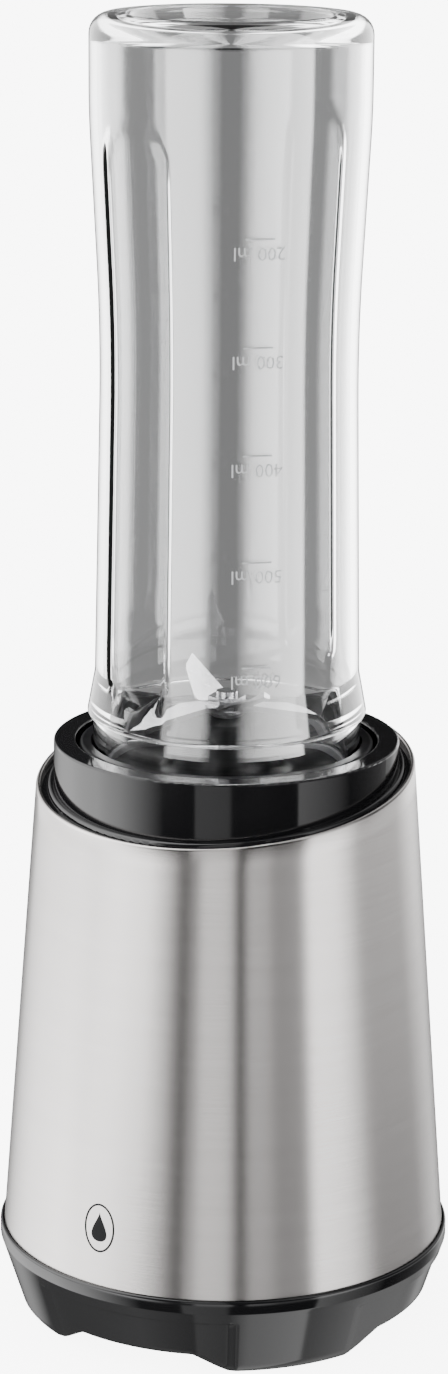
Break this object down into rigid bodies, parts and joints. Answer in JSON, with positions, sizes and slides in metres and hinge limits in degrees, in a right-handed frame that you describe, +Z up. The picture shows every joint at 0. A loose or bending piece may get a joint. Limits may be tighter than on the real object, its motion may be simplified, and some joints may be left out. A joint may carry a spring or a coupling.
{
  "type": "countertop blender",
  "caption": "Personal blender: clear waisted bottle upside down on a tapered brushed-steel motor base with a black collar and foot ring.",
  "frame": {"origin": "centre of the base at the height of the worktop, under the rubber foot pads", "axes": "+Z up along the motor and bottle axis, -Y the front, where the steel's upper edge is lowest"},
  "size_m": [0.1296, 0.1296, 0.3696],
  "materials": {
    "black_gloss": "gloss moulded",
    "black_satin": "fine moulded texture",
    "grey_plastic": "moulded",
    "steel": "brushed round the cone",
    "blade_steel": "ground and polished",
    "bracket_metal": "die cast",
    "fastener": "zinc plated",
    "lamination": "stacked sheet, varnished",
    "copper": "enamelled wire",
    "carbon": "pressed carbon",
    "rubber": "matt",
    "silicone": "translucent grey",
    "clear": "clear moulded copolyester",
    "board": "solder mask",
    "nylon": "moulded",
    "bronze": "sintered"
  },
  "bodies": {
    "base": {"base_skirt": "black_gloss", "foot_pads": "rubber", "bottom_cover": "black_satin", "cover_screws": "fastener", "circuit_board": "board", "bridge_rectifier": "black_satin", "suppression_capacitor": "nylon", "thermal_fuse": "fastener", "cord_gland": "rubber", "cord_clamp": "grey_plastic", "clamp_screws": "fastener", "steel_shell": "steel", "top_housing": "black_gloss", "base_screws": "fastener", "motor_shaft_seal": "rubber", "upper_bracket": "bracket_metal", "lower_bracket": "bracket_metal", "upper_bearing": "fastener", "lower_bearing": "fastener", "motor_bolts": "fastener", "motor_isolators": "rubber", "motor_screws": "fastener", "stator_core": "lamination", "field_coil_front": "copper", "field_coil_rear": "copper", "brush_holder_right": "black_satin", "brush_holder_left": "black_satin", "carbon_brush_right": "carbon", "carbon_brush_left": "carbon", "brush_spring_right": "fastener", "brush_spring_left": "fastener", "return_spring_right": "fastener", "return_spring_rear": "fastener", "return_spring_front": "fastener", "switch_bracket_rear": "fastener", "safety_switch_rear": "black_satin", "switch_bracket_left": "fastener", "safety_switch_left": "black_satin"},
    "rotor": {"motor_shaft": "blade_steel", "rotor_core": "lamination", "rotor_windings": "copper", "commutator": "copper", "cooling_fan": "black_satin", "drive_coupling": "rubber"},
    "press": {"press_ring": "black_satin", "switch_plunger_rear": "nylon", "switch_plunger_left": "nylon"},
    "blade_unit": {"blade_holder": "black_satin", "bottle_seal": "silicone", "blade_bush": "bronze", "blade_shaft_seal": "silicone"},
    "blades": {"blade_shaft": "blade_steel", "blade_washer": "blade_steel", "lower_blade": "blade_steel", "upper_blade": "blade_steel", "blade_nut": "blade_steel", "driven_coupling": "black_satin", "retaining_ring": "fastener"},
    "jar": {"bottle": "clear"}
  },
  "joints": [
    {"name": "motor_spin", "type": "hinge", "parent": "base", "child": "rotor", "pos_m": [0, 0, 0], "axis": [0, 0, 1], "continuous": true},
    {"name": "jar_press", "type": "slide", "parent": "base", "child": "press", "axis": [0, 0, -1], "range_m": [0, 0.0025], "stiffness_N_per_m": 2500, "springref_m": -0.004, "deforming": ["return_spring_right", "return_spring_rear", "return_spring_front"]},
    {"name": "jar_lift", "type": "slide", "parent": "press", "child": "blade_unit", "axis": [0, 0, 1], "range_m": [0, 0.12]},
    {"name": "blade_spin", "type": "hinge", "parent": "blade_unit", "child": "blades", "pos_m": [0, 0, 0.16], "axis": [0, 0, 1], "continuous": true},
    {"name": "bottle_off", "type": "slide", "parent": "blade_unit", "child": "jar", "axis": [0, 0, 1], "range_m": [0, 0.12]}
  ],
  "couplings": [
    {"joint": "blade_spin", "follows": "motor_spin", "ratio": 1}
  ]
}
